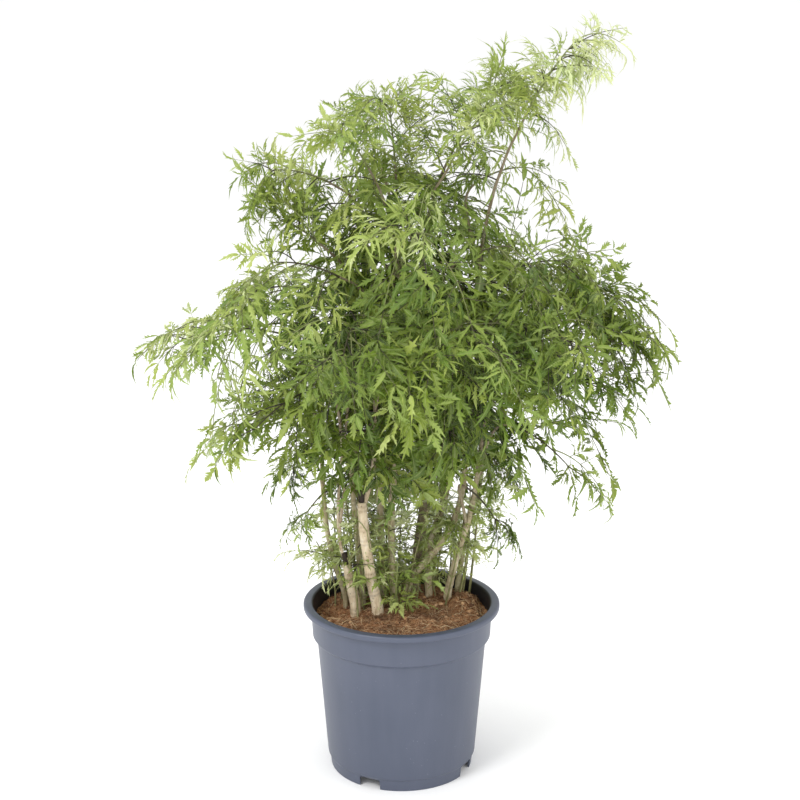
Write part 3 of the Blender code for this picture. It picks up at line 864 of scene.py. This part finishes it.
def build_canes(canes, material):
    """Every cane: its trunk with the cut top, a leader and the side twigs. Returns the twigs and stems."""
    lines, stems = {}, {}
    for order, (name, sprays) in enumerate(canes.items()):
        draw = seeded("canes", order)
        trunk, radii = trace_trunk(name)
        slender = max(0.0, min(1.0, (0.0050 - radii[4]) / 0.0018))
        youth = 0.04 + 0.80 * slender * draw.uniform(0.5, 1.0)
        dusk = 0.55 if name == "old_trunk" else 0.05
        top_dusk = dusk + 0.15
        bundle = Bundle()
        bundle.add(bark_tube(trunk, radii, CANE_SIDES, draw, youth, (dusk, top_dusk), TRUNK_SCAR_GAP))
        way = (trunk[-1] - trunk[-3]).normalized()
        width = radii[-1] * 0.92
        if name in STUB_TRUNKS:
            dead_wood = [trunk[-2] + way * STUB_LENGTH * t for t in np.linspace(0.0, 1.0, 8)]
            bundle.add(bark_tube(dead_wood, np.linspace(0.66, 0.58, 8) * radii[-1], CANE_SIDES, draw, youth,
                                 (dusk, dusk), TRUNK_SCAR_GAP, True))
            beside, share = STUB_TRUNKS[name]
            way = (way + beside).normalized()
            width = radii[-1] * share
        *side_sprays, (leader_spray, leader_curve) = sprays
        leader = twig_to(trunk[-3], way, leader_curve, LEADER_POINTS)
        bundle.add(bark_tube(leader, np.linspace(width, TWIG_RADIUS, LEADER_POINTS), TWIG_SIDES, draw, youth,
                             (top_dusk, TWIG_END_DUSK), LEADER_SCAR_GAP))
        lines[leader_spray] = leader
        stem = stems[name] = trunk[:-3] + leader
        for i, (spray, curve) in enumerate(side_sprays):
            fork, stem_way = along_stem(stem, curve[0].z - FORK_DROP - FORK_STAGGER * i)
            outward = (curve[0] - fork).normalized()
            twig = twig_to(fork, (stem_way + outward).normalized(), curve, TWIG_POINTS)
            widths = np.linspace(TWIG_ROOT_RADIUS, TWIG_RADIUS, TWIG_POINTS)
            bundle.add(bark_tube(twig, widths, TWIG_SIDES, draw, youth, (0.35, TWIG_END_DUSK), TWIG_SCAR_GAP))
            lines[spray] = twig
        bundle.piece(name + "_bark", material, "bark", name)
    return lines, stems


# ---------------------------------------------------------------- leaves

def leaflet(draw, sort, half_width, droop, curl):
    """A narrow leaflet, one unit long, along +X, upper face to +Z, here and there with a forward tooth."""
    stations = np.linspace(0.12, 0.72, LEAFLET_STEPS + 1)
    rib = [(0.0, 0.0)] + [(x, 0.0) for x in stations] + [(1.0, 0.0)]
    points = list(rib)
    edge_look = [0.0] * (len(rib) - 1) + [1.0]
    tris = []

    def width(x):
        return half_width * math.sin(math.pi * x ** 0.72) ** 0.85

    for hand in (1, -1):
        toothed = [draw.random() < sort.teeth for _ in range(LEAFLET_STEPS)]
        edge_first = len(points)
        for k, x in enumerate(stations):
            cut = any(toothed[max(0, k - 1):k + 1])
            depth = draw.uniform(0.32, 0.55) if cut else draw.uniform(0.92, 1.0)
            points.append((x + draw.uniform(-0.02, 0.02), hand * max(LEAST_SINUS, width(x) * depth)))
            edge_look.append(0.75 if cut else 1.0)
        tooth_first = len(points)
        for k, (low, high) in enumerate(zip(stations, stations[1:])):
            out = draw.uniform(*sort.reach) if toothed[k] else 1.0
            forward = 0.35 + 0.62 * out if toothed[k] else 0.5
            points.append((low + (high - low) * forward, hand * width((low + high) / 2) * out))
            edge_look.append(1.0)
        fan = [(0, 1, edge_first)]
        for k in range(LEAFLET_STEPS):
            a, b, c, d, e = k + 1, k + 2, edge_first + k + 1, edge_first + k, tooth_first + k
            fan += [(a, b, c), (a, c, d), (d, c, e)]
        fan.append((LEAFLET_STEPS + 1, len(rib) - 1, edge_first + LEAFLET_STEPS))
        tris += fan if hand > 0 else [(a, c, b) for a, b, c in fan]
    flat = np.array(points)
    x, y = flat[:, 0], flat[:, 1]
    spot = columns(x, 0.5 + y / (2.2 * np.abs(y).max())).clip(0.0, 1.0)
    twist = draw.uniform(-0.9, 0.9) * x
    verts = columns(x - 0.25 * droop * x ** 3, y * np.cos(twist) + curl * x ** 2,
                    0.45 * np.abs(y) + y * np.sin(twist) - droop * x ** 2)
    paler = 0.10 * x + draw.uniform(-0.10, 0.10)
    look = columns(paler, np.zeros(len(x)), edge_look, np.zeros(len(x)))
    return one_cell(verts, np.array(tris), spot, look)


def joined(bundle):
    """One shape from all that a bundle holds, so that it can be placed many times."""
    return Shape(*(np.concatenate(parts) for parts in zip(*bundle.shapes)))


def frame_of(way, above):
    """A 3x3 turn that takes +X to way and +Z as near to above as can be."""
    way = way.normalized()
    side = above.cross(way)
    side = side.normalized() if side.length > 1e-6 else way.orthogonal().normalized()
    return np.array((way, side, way.cross(side))).T


def ray(around, rise):
    """A direction that points outwards at an angle round the vertical, and upwards as rise says."""
    return Vector((math.cos(around), math.sin(around), rise))


def pinna(draw, sort, pairs):
    """A leaf's side branch, one unit long along +X: a thin stalk, pairs of leaflets and one at its end."""
    bundle = Bundle()
    sag = draw.uniform(0.06, 0.20)
    line = [Vector((x, 0.0, -sag * x ** 2)) for x in np.linspace(0.0, PINNA_STALK, 4)]
    bundle.add(tube(line, (0.011, 0.009, 0.008, 0.006), 3, (0.0, 0.0, 0.0, 1.0)))
    lean = draw.uniform(-0.30, 0.25)
    for i, share in enumerate(np.linspace(0.26 if pairs > 1 else 0.45, 0.90, pairs)):
        x = share * PINNA_STALK + draw.uniform(-0.015, 0.015)
        length = (0.54 - 0.14 * i / max(1, pairs - 1)) * draw.uniform(0.75, 1.18)
        for hand in (1, -1):
            way = ray(hand * math.radians(draw.uniform(28.0, 64.0)), lean + draw.uniform(-0.35, 0.35))
            above = Vector((draw.uniform(-0.6, 0.6), draw.uniform(-0.6, 0.6), 1.0))
            blade = leaflet(draw, sort, sort.half_width * draw.uniform(0.70, 1.25), draw.uniform(*sort.arch),
                            -hand * draw.uniform(-0.25, 0.60))
            bundle.add(blade, frame_of(way, above) * length, np.array((x, 0.0, -sag * x * x)))
    way = Vector((1.0, draw.uniform(-0.15, 0.15), -2.0 * sag * PINNA_STALK))
    blade = leaflet(draw, sort, sort.half_width, draw.uniform(*sort.arch), draw.uniform(-0.4, 0.4))
    bundle.add(blade, frame_of(way, UP) * draw.uniform(0.50, 0.66), np.array(line[-1]))
    return joined(bundle)


# A sort of leaflet: half width, share of its edge with teeth, how far they reach, how much it arches over.
Sort = namedtuple("Sort", "half_width teeth reach arch")
SORTS = {
    "fine": Sort(0.062, 0.40, (1.5, 2.9), (0.10, 1.10)),
    "medium": Sort(0.098, 0.58, (1.2, 2.0), (0.05, 0.90)),
    "broad": Sort(0.145, 0.70, (1.1, 1.7), (-0.10, 0.55)),
}


def make_pinnae():
    """Side branches: fine for the top, medium, and broad for the inside and the lowest leaves."""
    draw = seeded("pinnae")
    return {name: [pinna(draw, sort, draw.choice((1, 2, 2, 3))) for _ in range(PINNA_COUNT)]
            for name, sort in SORTS.items()}


def leaf_line(root, way, length, droop, steps=8):
    """Points of a leaf's stalk that leaves root along way and bends down under its own weight."""
    points, heading = [root], way.normalized()
    for _ in range(steps):
        heading = (heading - UP * droop / steps).normalized()
        points.append(points[-1] + heading * length / steps)
    return points


def add_leaf(bundle, draw, pinnae, line, size, pairs, pale, tint, facing=UP):
    """A compound leaf on its stalk's line: pairs of side branches over its outer half, and one at its end."""
    steps = len(line) - 1
    thick = LEAF_STALK_RADIUS * (0.6 + 0.4 * size / 0.05)
    # pale is the leaf's paleness, which for the crown's leaves holds painted light and painted shade; the
    # stalk and leaflets take their colour from it.
    stalk = 0.12 if draw.random() < 0.35 else pale * 0.5 + 0.4
    bundle.add(tube(line, np.linspace(thick, thick * 0.45, len(line)), 4, (stalk, tint, 0.0, 1.0)))
    for i in range(pairs):
        share = LEAF_STALK_BARE + (0.97 - LEAF_STALK_BARE) * (i + draw.uniform(0.0, 0.35)) / pairs
        place, way = place_on(line, share * steps)
        side = way.cross(facing)
        side = side.normalized() if side.length > 0.05 else way.orthogonal().normalized()
        above = side.cross(way)
        for hand in (1, -1):
            spread = math.radians(draw.uniform(40.0, 70.0))
            out = way * math.cos(spread) + side * hand * math.sin(spread) + above * draw.uniform(-0.30, 0.25)
            tilt = above + side * draw.uniform(-0.4, 0.4) + way * draw.uniform(-0.3, 0.3)
            scale = size * (1.0 - 0.30 * abs(i / max(1, pairs - 1) - 0.35)) * draw.uniform(0.82, 1.12)
            look = np.array((pale + draw.uniform(-0.12, 0.12), tint + draw.uniform(-0.2, 0.2), 0.0, 0.0))
            bundle.add(draw.choice(pinnae), frame_of(out, tilt) * scale, np.array(place), look)
    way = (line[-1] - line[-2]).normalized()
    look = np.array((pale + draw.uniform(-0.05, 0.15), tint, 0.0, 0.0))
    tilt = facing + Vector((draw.uniform(-0.3, 0.3), draw.uniform(-0.3, 0.3), 0.0))
    bundle.add(draw.choice(pinnae), frame_of(way, tilt) * size * 1.1, np.array(line[-1]), look)


def clears_rim(line, reach):
    """Whether a leaf stays off the pot's rim: wholly above it, or wholly inside it."""
    lowest = min(p.z for p in line) - 0.7 * reach
    widest = max(p.xy.length for p in line) + 0.7 * reach
    return lowest > RIM_HEIGHT or widest < RIM_INSIDE


def leaf_facing(place, draw):
    """Which way a leaf's upper face turns: up and away from the middle of the crown, never quite alike."""
    away = Vector((place.x, place.y, 0.0)).normalized() * 0.75
    return (UP * 0.55 + away + Vector([draw.uniform(-0.45, 0.45) for _ in range(3)])).normalized()


def crown_tree(canes):
    """Search tree of points spread over all the CAD sprays, which mark how far the crown reaches."""
    draw = seeded("crown")
    spots = []
    for sprays in canes.values():
        for name, _ in sprays:
            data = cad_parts[name].data
            data.calc_loop_triangles()
            for face in data.loop_triangles:
                a, b, c = (data.vertices[i].co for i in face.vertices)
                for _ in range(3 + int(face.area * 4.0e5)):
                    u, v = sorted((draw.random(), draw.random()))
                    spots.append(a * u + b * (v - u) + c * (1.0 - v))
    tree = kdtree.KDTree(len(spots))
    for i, spot in enumerate(spots):
        tree.insert(spot, i)
    tree.balance()
    return tree


def smooth_step(low, high, value):
    t = max(0.0, min(1.0, (value - low) / (high - low)))
    return t * t * (3 - 2 * t)


def crown_paleness_and_painted_light(place, draw):
    """How pale a leaf is: its own random tone, with painted light at the top, outside, on the left and low at
    the front, and painted shade inside, on the lower right and in the front's middle.
    """
    # Painted light and shade, all but the random draw: the top and the fan are paler, the outer leaves paler,
    # the left side paler, the lower right darker and the front's middle darker.
    height = smooth_step(0.40, 0.78, place.z)
    side = smooth_step(0.0, -0.25, place.x) - 0.7 * smooth_step(0.05, 0.22, place.x) * (1.0 - height)
    front = smooth_step(-0.06, -0.17, place.y) * smooth_step(0.15, 0.05, abs(place.x))
    front *= smooth_step(0.42, 0.50, place.z)
    outside = smooth_step(0.05, 0.27, place.xy.length) * (0.26 + 0.20 * side) * (1.0 - 0.6 * front)
    fan = smooth_step(0.70, 0.77, place.z)
    # Painted light on the leaves low at the front, where the pale floor throws light up.
    low_front_painted_light = 0.17 * smooth_step(0.44, 0.31, place.z) * smooth_step(0.12, -0.02, place.y)
    return 0.09 + 0.42 * height + 0.14 * fan + outside + low_front_painted_light + draw.uniform(-0.22, 0.27)


def in_crown(crown, line, reach, clearance):
    """Whether a leaf stays close to the CAD sprays with its end, and with the leaflets that hang from it."""
    last = (line[-1] - line[-2]).normalized()
    side = last.cross(UP).normalized() if abs(last.z) < 0.98 else last.orthogonal().normalized()
    ends = (line[-1] + last * reach, line[-1] - UP * reach * 0.6, line[-1] + (last + side) * reach * 0.6,
            line[-1] + (last - side) * reach * 0.6)
    top = CAD_HIGH.z - 0.004
    return max(end.z for end in ends) < top and max(crown.find(end)[2] for end in ends) < clearance


def pick_sort(draw, broad, fine):
    """A sort of leaflet, by the chance that it is broad, and if it isn't, that it is fine."""
    if draw.random() < broad:
        return "broad"
    return "fine" if draw.random() < fine else "medium"


def build_spray(order, name, curve, twig, pinnae, crown, material):
    """All the leaves of one spray, on a stalk that carries on from its twig."""
    draw = seeded("sprays", order)
    foot, _, tip = curve
    reach = (tip - foot).length
    upper = smooth_step(0.52, 0.74, tip.z)
    lower = smooth_step(0.42, 0.28, tip.z)
    small = smooth_step(0.32, 0.27, tip.z)
    right = smooth_step(0.15, 0.28, tip.x)
    fan = smooth_step(0.74, 0.78, tip.z)
    size = (LEAF_SIZE - 0.013 * upper) * (1 - 0.35 * small)
    length = (LEAF_LENGTH - 0.022 * upper) * (1 - 0.45 * small)
    bundle = Bundle()
    stalk = [bend(curve, STALK_SHARE * i / (STALK_POINTS - 1)) for i in range(STALK_POINTS)]
    widths = np.linspace(TWIG_RADIUS, 0.0006, STALK_POINTS)
    bundle.add(tube(stalk, widths, 8, (0.22 + 0.4 * upper, 0.3, 0.0, 1.0)))
    bare = 0.75 if (foot - twig[0]).length > LONG_TWIG else 0.33
    bare += (1.0 - bare) * fan
    wood = twig[round(len(twig) * bare):-1] + stalk
    number = name.rsplit("_", 1)[1]
    leafiness = LEAFINESS.get(int(number), 1.0)
    clearance = LEAF_CLEARANCE + (TOP_CLEARANCE - LEAF_CLEARANCE) * upper
    clearance += EXTRA_CLEARANCE.get(int(number), 0.0)
    count = round((36 + 8 * upper + 40 * (reach - 0.13)) * (1 - 0.55 * small) * leafiness)
    for i in range(count + 4):
        share = min(1.0, (i + 0.5) / count)
        root, along = place_on(wood, share * (len(wood) - 1))
        if draw.random() < OUTER_THINNING * smooth_step(0.13, 0.24, root.xy.length):
            continue
        around = i * GOLDEN_ANGLE + draw.uniform(-0.4, 0.4)
        side = along.orthogonal().normalized()
        radial = side * math.cos(around) + along.cross(side) * math.sin(around)
        way = along * (0.30 + 1.0 * share) + radial
        way += UP * draw.uniform(0.0, 0.55) * (1 - fan)
        way += FAN_SWEEP * fan * share
        scale = draw.uniform(0.75, 1.2)
        droop = draw.uniform(0.3, 1.5)
        for _ in range(5):
            line = leaf_line(root, way, length * scale, droop)
            grown = size * (0.55 + 0.45 * scale)
            if in_crown(crown, line, grown, clearance) and clears_rim(line, grown):
                break
            scale *= 0.78
        else:
            continue
        end = line[-1]
        inside = 1.0 - smooth_step(0.08, 0.20, end.xy.length)
        broad = (0.10 + 0.22 * inside + 0.25 * right) * (1.0 - upper) + 0.20 * lower
        sort = pick_sort(draw, broad, 0.20 + 0.7 * upper)
        add_leaf(bundle, draw, pinnae[sort], line, grown, 3 if scale > 0.55 else 2,
                 crown_paleness_and_painted_light(end, draw), draw.random(), leaf_facing(end, draw))
    bundle.piece("foliage_" + number, material, "leaf", name)


def build_inner_leaves(canes, stems, pinnae, material):
    """The leaves on each cane's own stem, which fill the middle of the crown."""
    for order, name in enumerate(canes):
        draw = seeded("inner", order)
        bundle = Bundle()
        lowest = INNER_LOWEST_BACK if stems[name][0].y > 0.03 else INNER_LOWEST
        stem = [p for p in stems[name] if p.z > lowest]
        count = round(INNER_PER_METRE * (stem[-1].z - stem[0].z))
        for i in range(count):
            root, _ = place_on(stem, (i + draw.random()) / count * (len(stem) - 1))
            way = ray(i * GOLDEN_ANGLE + draw.uniform(-0.5, 0.5), draw.uniform(0.3, 1.0))
            line = leaf_line(root, way, draw.uniform(0.050, 0.095), draw.uniform(0.6, 1.6))
            end = line[-1]
            low_front = end.z < INNER_LOWEST and end.y < CROWN_MIDDLE + 0.03
            widest = min(INNER_REACH, 0.06 + 0.55 * (end.z - 0.19))
            widest -= INNER_TAPER * smooth_step(0.54, 0.64, end.z)
            if low_front or end.z < lowest or end.xy.length > widest:
                continue
            upper = smooth_step(0.55, 0.72, end.z)
            sort = pick_sort(draw, 0.5 * (1 - upper), upper)
            add_leaf(bundle, draw, pinnae[sort], line, draw.uniform(0.040, 0.054) * (1 - 0.2 * upper), 3,
                     crown_paleness_and_painted_light(end, draw), draw.random(), leaf_facing(end, draw))
        bundle.piece(name + "_leaves", material, "leaf")


def build_young_growth(pinnae, material):
    """The shoot that stands straight out of the soil in front of the clump."""
    draw = seeded("young")
    places = node_points("young_shoot")
    foot = Vector(places[places[:, 2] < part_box("young_shoot")[0].z + 0.002].mean(0))
    stalk = [foot + UP * 0.066 * t + Vector((0.002, -0.006, 0.0)) * t * t for t in np.linspace(0.0, 1.0, 8)]
    bundle = Bundle()
    bundle.add(tube(stalk, np.linspace(0.0015, 0.0008, 8), 8, (0.75, 0.3, 0.0, 1.0)))
    for i in range(7):
        line = leaf_line(stalk[2 + i * 5 // 6], ray(i * GOLDEN_ANGLE, 0.9), draw.uniform(0.020, 0.034), 1.0)
        add_leaf(bundle, draw, pinnae["broad"], line, draw.uniform(0.024, 0.032), 2, 0.60, draw.random())
    bundle.piece("young_shoot_leaves", material, "leaf", "young_shoot")


def build_low_leaves(canes, pinnae, material):
    """Small young leaves that sprout straight from the canes' bark."""
    draw = seeded("low")
    bundle = Bundle()
    for name in canes:
        trunk, _ = trace_trunk(name)
        for _ in range(3):
            root = trunk[-1]
            if len(trunk) > 10:
                root = trunk[draw.randrange(8, max(10, min(len(trunk) - 1, 30)))]
            way = ray(draw.uniform(0, math.tau), draw.uniform(0.4, 1.2))
            line = leaf_line(root, way, draw.uniform(0.018, 0.045), 0.9)
            size = draw.uniform(0.016, 0.028)
            if clears_rim(line, size):
                pale = draw.uniform(0.45, 0.75)
                add_leaf(bundle, draw, pinnae["medium"], line, size, 2, pale, draw.random())
    bundle.piece("low_leaves", material, "leaf")


def build_green_shoots(canes, stems, pinnae, bark, material):
    """Slender green shoots that stand between the canes, with small young leaves."""
    draw = seeded("shoots")
    wood, leaves = Bundle(), Bundle()
    names = list(canes)
    for i in range(SHOOT_COUNT):
        stem = stems[names[i % len(names)]]
        foot = stem[0] + Vector((draw.uniform(-0.014, 0.014), draw.uniform(-0.014, 0.014), 0.0))
        away = Vector((foot.x, foot.y - CROWN_MIDDLE, 0.0)).normalized()
        rise = draw.uniform(0.070, 0.170)
        bow = Vector((draw.uniform(-0.012, 0.012), draw.uniform(-0.012, 0.012), 0.0))
        top = foot + UP * rise + away * rise * draw.uniform(0.02, 0.24)
        shares = np.linspace(0.0, 1.0, SHOOT_POINTS)
        line = [foot.lerp(top, t) + bow * math.sin(math.pi * t) for t in shares]
        widths = np.linspace(draw.uniform(0.0009, 0.0017), 0.0006, SHOOT_POINTS)
        wood.add(bark_tube(line, widths, 8, draw, 1.0, (0.10, 0.25), SHOOT_SCAR_GAP))
        for j in range(draw.randrange(4, 8) + (abs(foot.x) > 0.035)):
            root, _ = place_on(line, draw.uniform(0.38, 1.0) * (SHOOT_POINTS - 1.01))
            bare = SHOOT_BARE_SIDE if abs(root.x) > 0.050 else SHOOT_BARE
            if root.z < bare and root.y < CROWN_MIDDLE:
                continue
            way = ray(j * GOLDEN_ANGLE + draw.uniform(-0.5, 0.5), draw.uniform(0.3, 1.1))
            if root.y < CROWN_MIDDLE:
                way.y = 0.6 * abs(way.y) - 0.2
            stalk = leaf_line(root, way, draw.uniform(0.014, 0.036), draw.uniform(0.3, 1.2))
            sort = "broad" if draw.random() < 0.35 else "medium"
            size = draw.uniform(0.020, 0.032)
            if not clears_rim(stalk, size):
                continue
            add_leaf(leaves, draw, pinnae[sort], stalk, size, draw.choice((1, 1, 2)),
                     draw.uniform(0.60, 1.00), draw.random(), leaf_facing(stalk[-1], draw))
    wood.piece("green_shoots", bark, "bark")
    leaves.piece("green_shoot_leaves", material, "leaf")


# ---------------------------------------------------------------- stage

def build_stage():
    camera = put_in_scene("camera", bpy.data.cameras.new("camera"))
    camera.location = CAMERA_PLACE
    camera.rotation_euler = (math.pi / 2 - CAMERA_PITCH, 0.0, 0.0)
    camera.data.lens = CAMERA_LENS
    camera.data.sensor_width = CAMERA_SENSOR
    bpy.context.scene.camera = camera

    mesh = bpy.data.meshes.new("studio_floor")
    corners = [(x * FLOOR_REACH, y * FLOOR_REACH, 0) for x, y in ((-1, -1), (1, -1), (1, 1), (-1, 1))]
    mesh.from_pydata(corners, [], [(0, 1, 2, 3)])
    mesh.materials.append(floor_material())
    floor = put_in_scene("studio_floor", mesh)

    world = bpy.data.worlds.new("studio")
    bpy.context.scene.world = world
    world.use_nodes = True
    sky = world.node_tree.nodes["Background"].inputs
    sky["Color"].default_value = (1.0, 1.0, 1.0, 1.0)
    sky["Strength"].default_value = SKY_STRENGTH
    for name, (place, size, power) in LIGHTS.items():
        data = bpy.data.lights.new(name, "AREA")
        data.shape = "DISK"
        data.size = size
        data.energy = power
        light = put_in_scene(name, data)
        light.location = place
        towards = (CAD_LOW + CAD_HIGH) / 2 - Vector(place)
        light.rotation_euler = towards.to_track_quat("-Z", "Y").to_euler()
    bpy.context.scene.view_settings.view_transform = "Standard"
    bpy.context.scene.view_settings.look = "None"


def build_all():
    build_stage()
    build_pot(pot_material())
    build_soil(soil_material(), fibre_material())
    canes = canes_and_sprays()
    bark = bark_material()
    lines, stems = build_canes(canes, bark)
    leaf = leaf_material()
    pinnae = make_pinnae()
    crown = crown_tree(canes)
    found = [pair for sprays in canes.values() for pair in sprays]
    for order, (name, curve) in enumerate(found):
        build_spray(order, name, curve, lines[name], pinnae, crown, leaf)
    build_inner_leaves(canes, stems, pinnae, leaf)
    build_young_growth(pinnae, leaf)
    build_low_leaves(canes, pinnae, leaf)
    build_green_shoots(canes, stems, pinnae, bark, leaf)


build_all()
